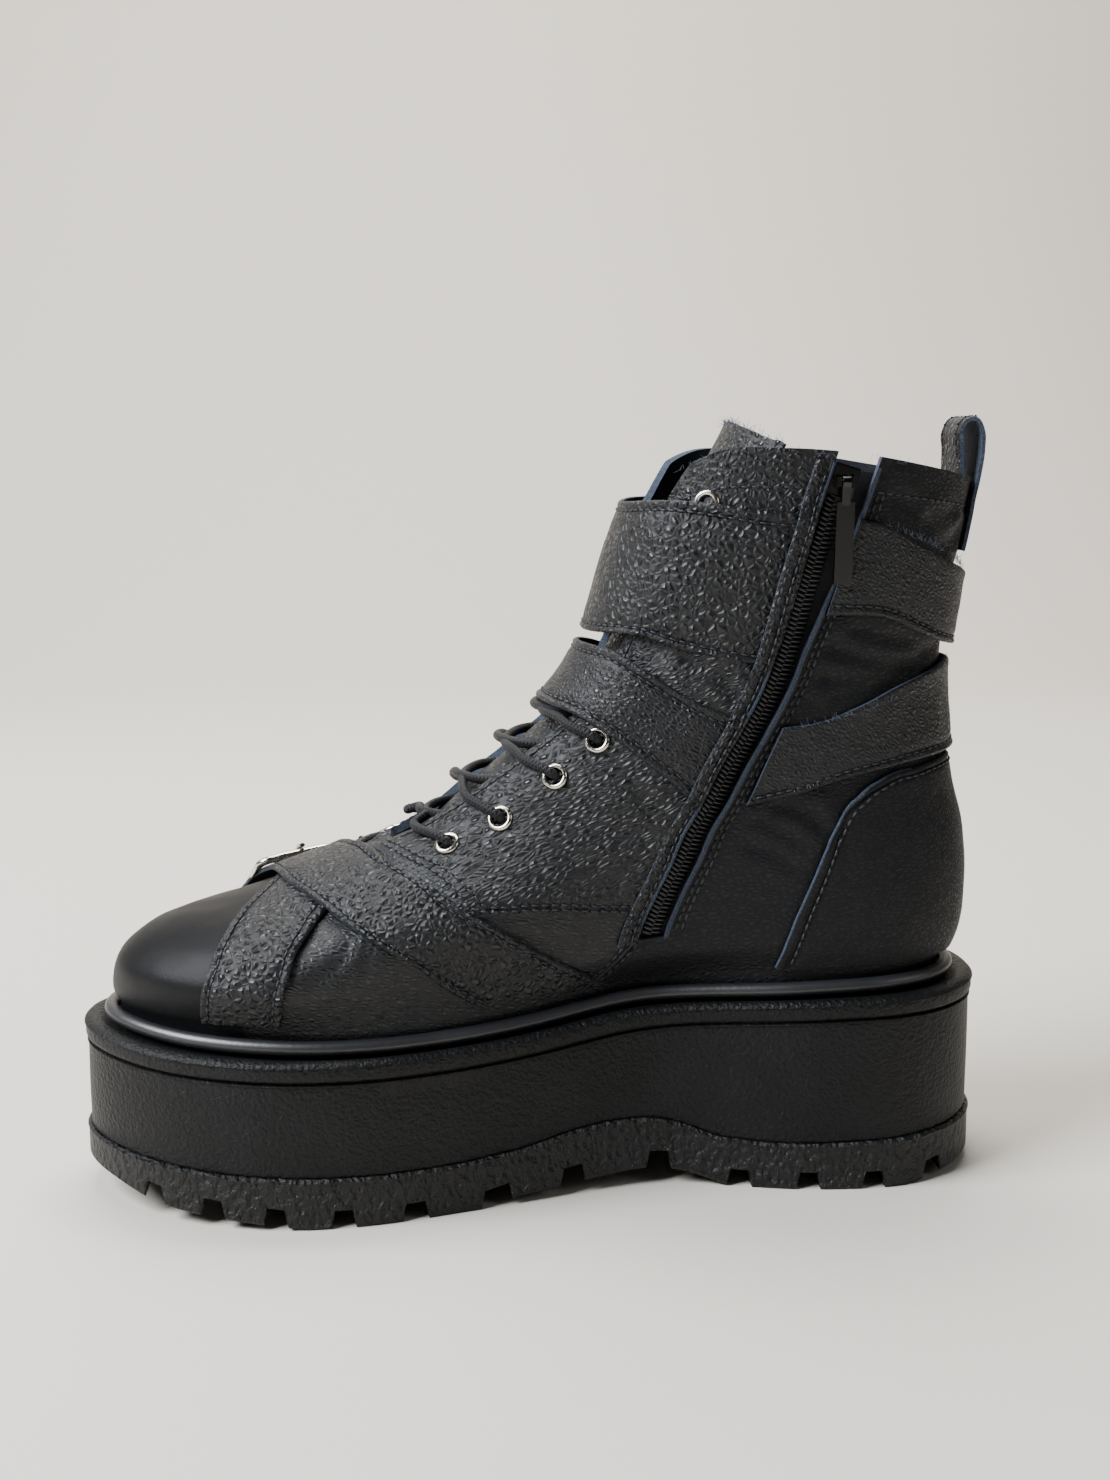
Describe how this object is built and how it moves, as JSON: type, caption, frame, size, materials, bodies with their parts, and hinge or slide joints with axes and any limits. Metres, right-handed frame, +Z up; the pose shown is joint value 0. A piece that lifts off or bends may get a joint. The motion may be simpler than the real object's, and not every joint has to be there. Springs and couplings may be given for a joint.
{
  "type": "platform ankle boot",
  "caption": "Right ankle boot on a thick lugged platform sole, laced in front, with a zip on the inner side and buckled straps across toe, vamp, instep and ankle.",
  "frame": {"origin": "on the floor, under the middle of the box round the whole boot", "axes": "+Z up, +X to the heel, -Y to the inner side with the zip"},
  "size_m": [0.2916, 0.1113, 0.2442],
  "materials": {
    "leather": "pebbled, satin",
    "smooth_leather": "smooth, satin",
    "sock": "matte",
    "rubber": "fine grain, matte",
    "zip_black": "matte",
    "black_metal": "gloss black",
    "nickel": "polished nickel",
    "lace_black": "waxed"
  },
  "bodies": {
    "boot": {"outsole": "rubber", "midsole": "rubber", "rand": "rubber", "insole": "sock", "upper": "leather", "tongue": "leather", "counter": "smooth_leather", "strap_toe": "leather", "strap_vamp": "leather", "strap_instep_front": "leather", "strap_instep_back": "leather", "strap_cuff": "leather", "strap_cuff_tab": "leather", "strap_ankle_back": "leather", "zip_tape": "zip_black", "zip_coil": "zip_black", "zip_slider": "black_metal", "pull_loop": "leather", "eyelet_inner_1": "nickel", "eyelet_outer_1": "nickel", "eyelet_inner_2": "nickel", "eyelet_outer_2": "nickel", "eyelet_inner_3": "nickel", "eyelet_outer_3": "nickel", "eyelet_inner_4": "nickel", "eyelet_outer_4": "nickel", "eyelet_inner_5": "nickel", "eyelet_outer_5": "nickel", "lace_crossing_1": "lace_black", "lace_crossing_2": "lace_black", "lace_crossing_3": "lace_black", "lace_crossing_4": "lace_black", "buckle_toe": "nickel", "prong_toe": "nickel", "buckle_vamp": "nickel", "prong_vamp": "nickel", "buckle_instep": "nickel", "prong_instep": "nickel", "buckle_ankle": "nickel", "prong_ankle": "nickel"},
    "pull": {"zip_pull": "black_metal"}
  },
  "joints": [
    {"name": "zip_pull_hinge", "type": "hinge", "parent": "boot", "child": "pull", "pos_m": [0.09033, -0.03988, 0.22426], "axis": [-0.9999, -0.0108, 0], "range_deg": [0, 150]}
  ]
}
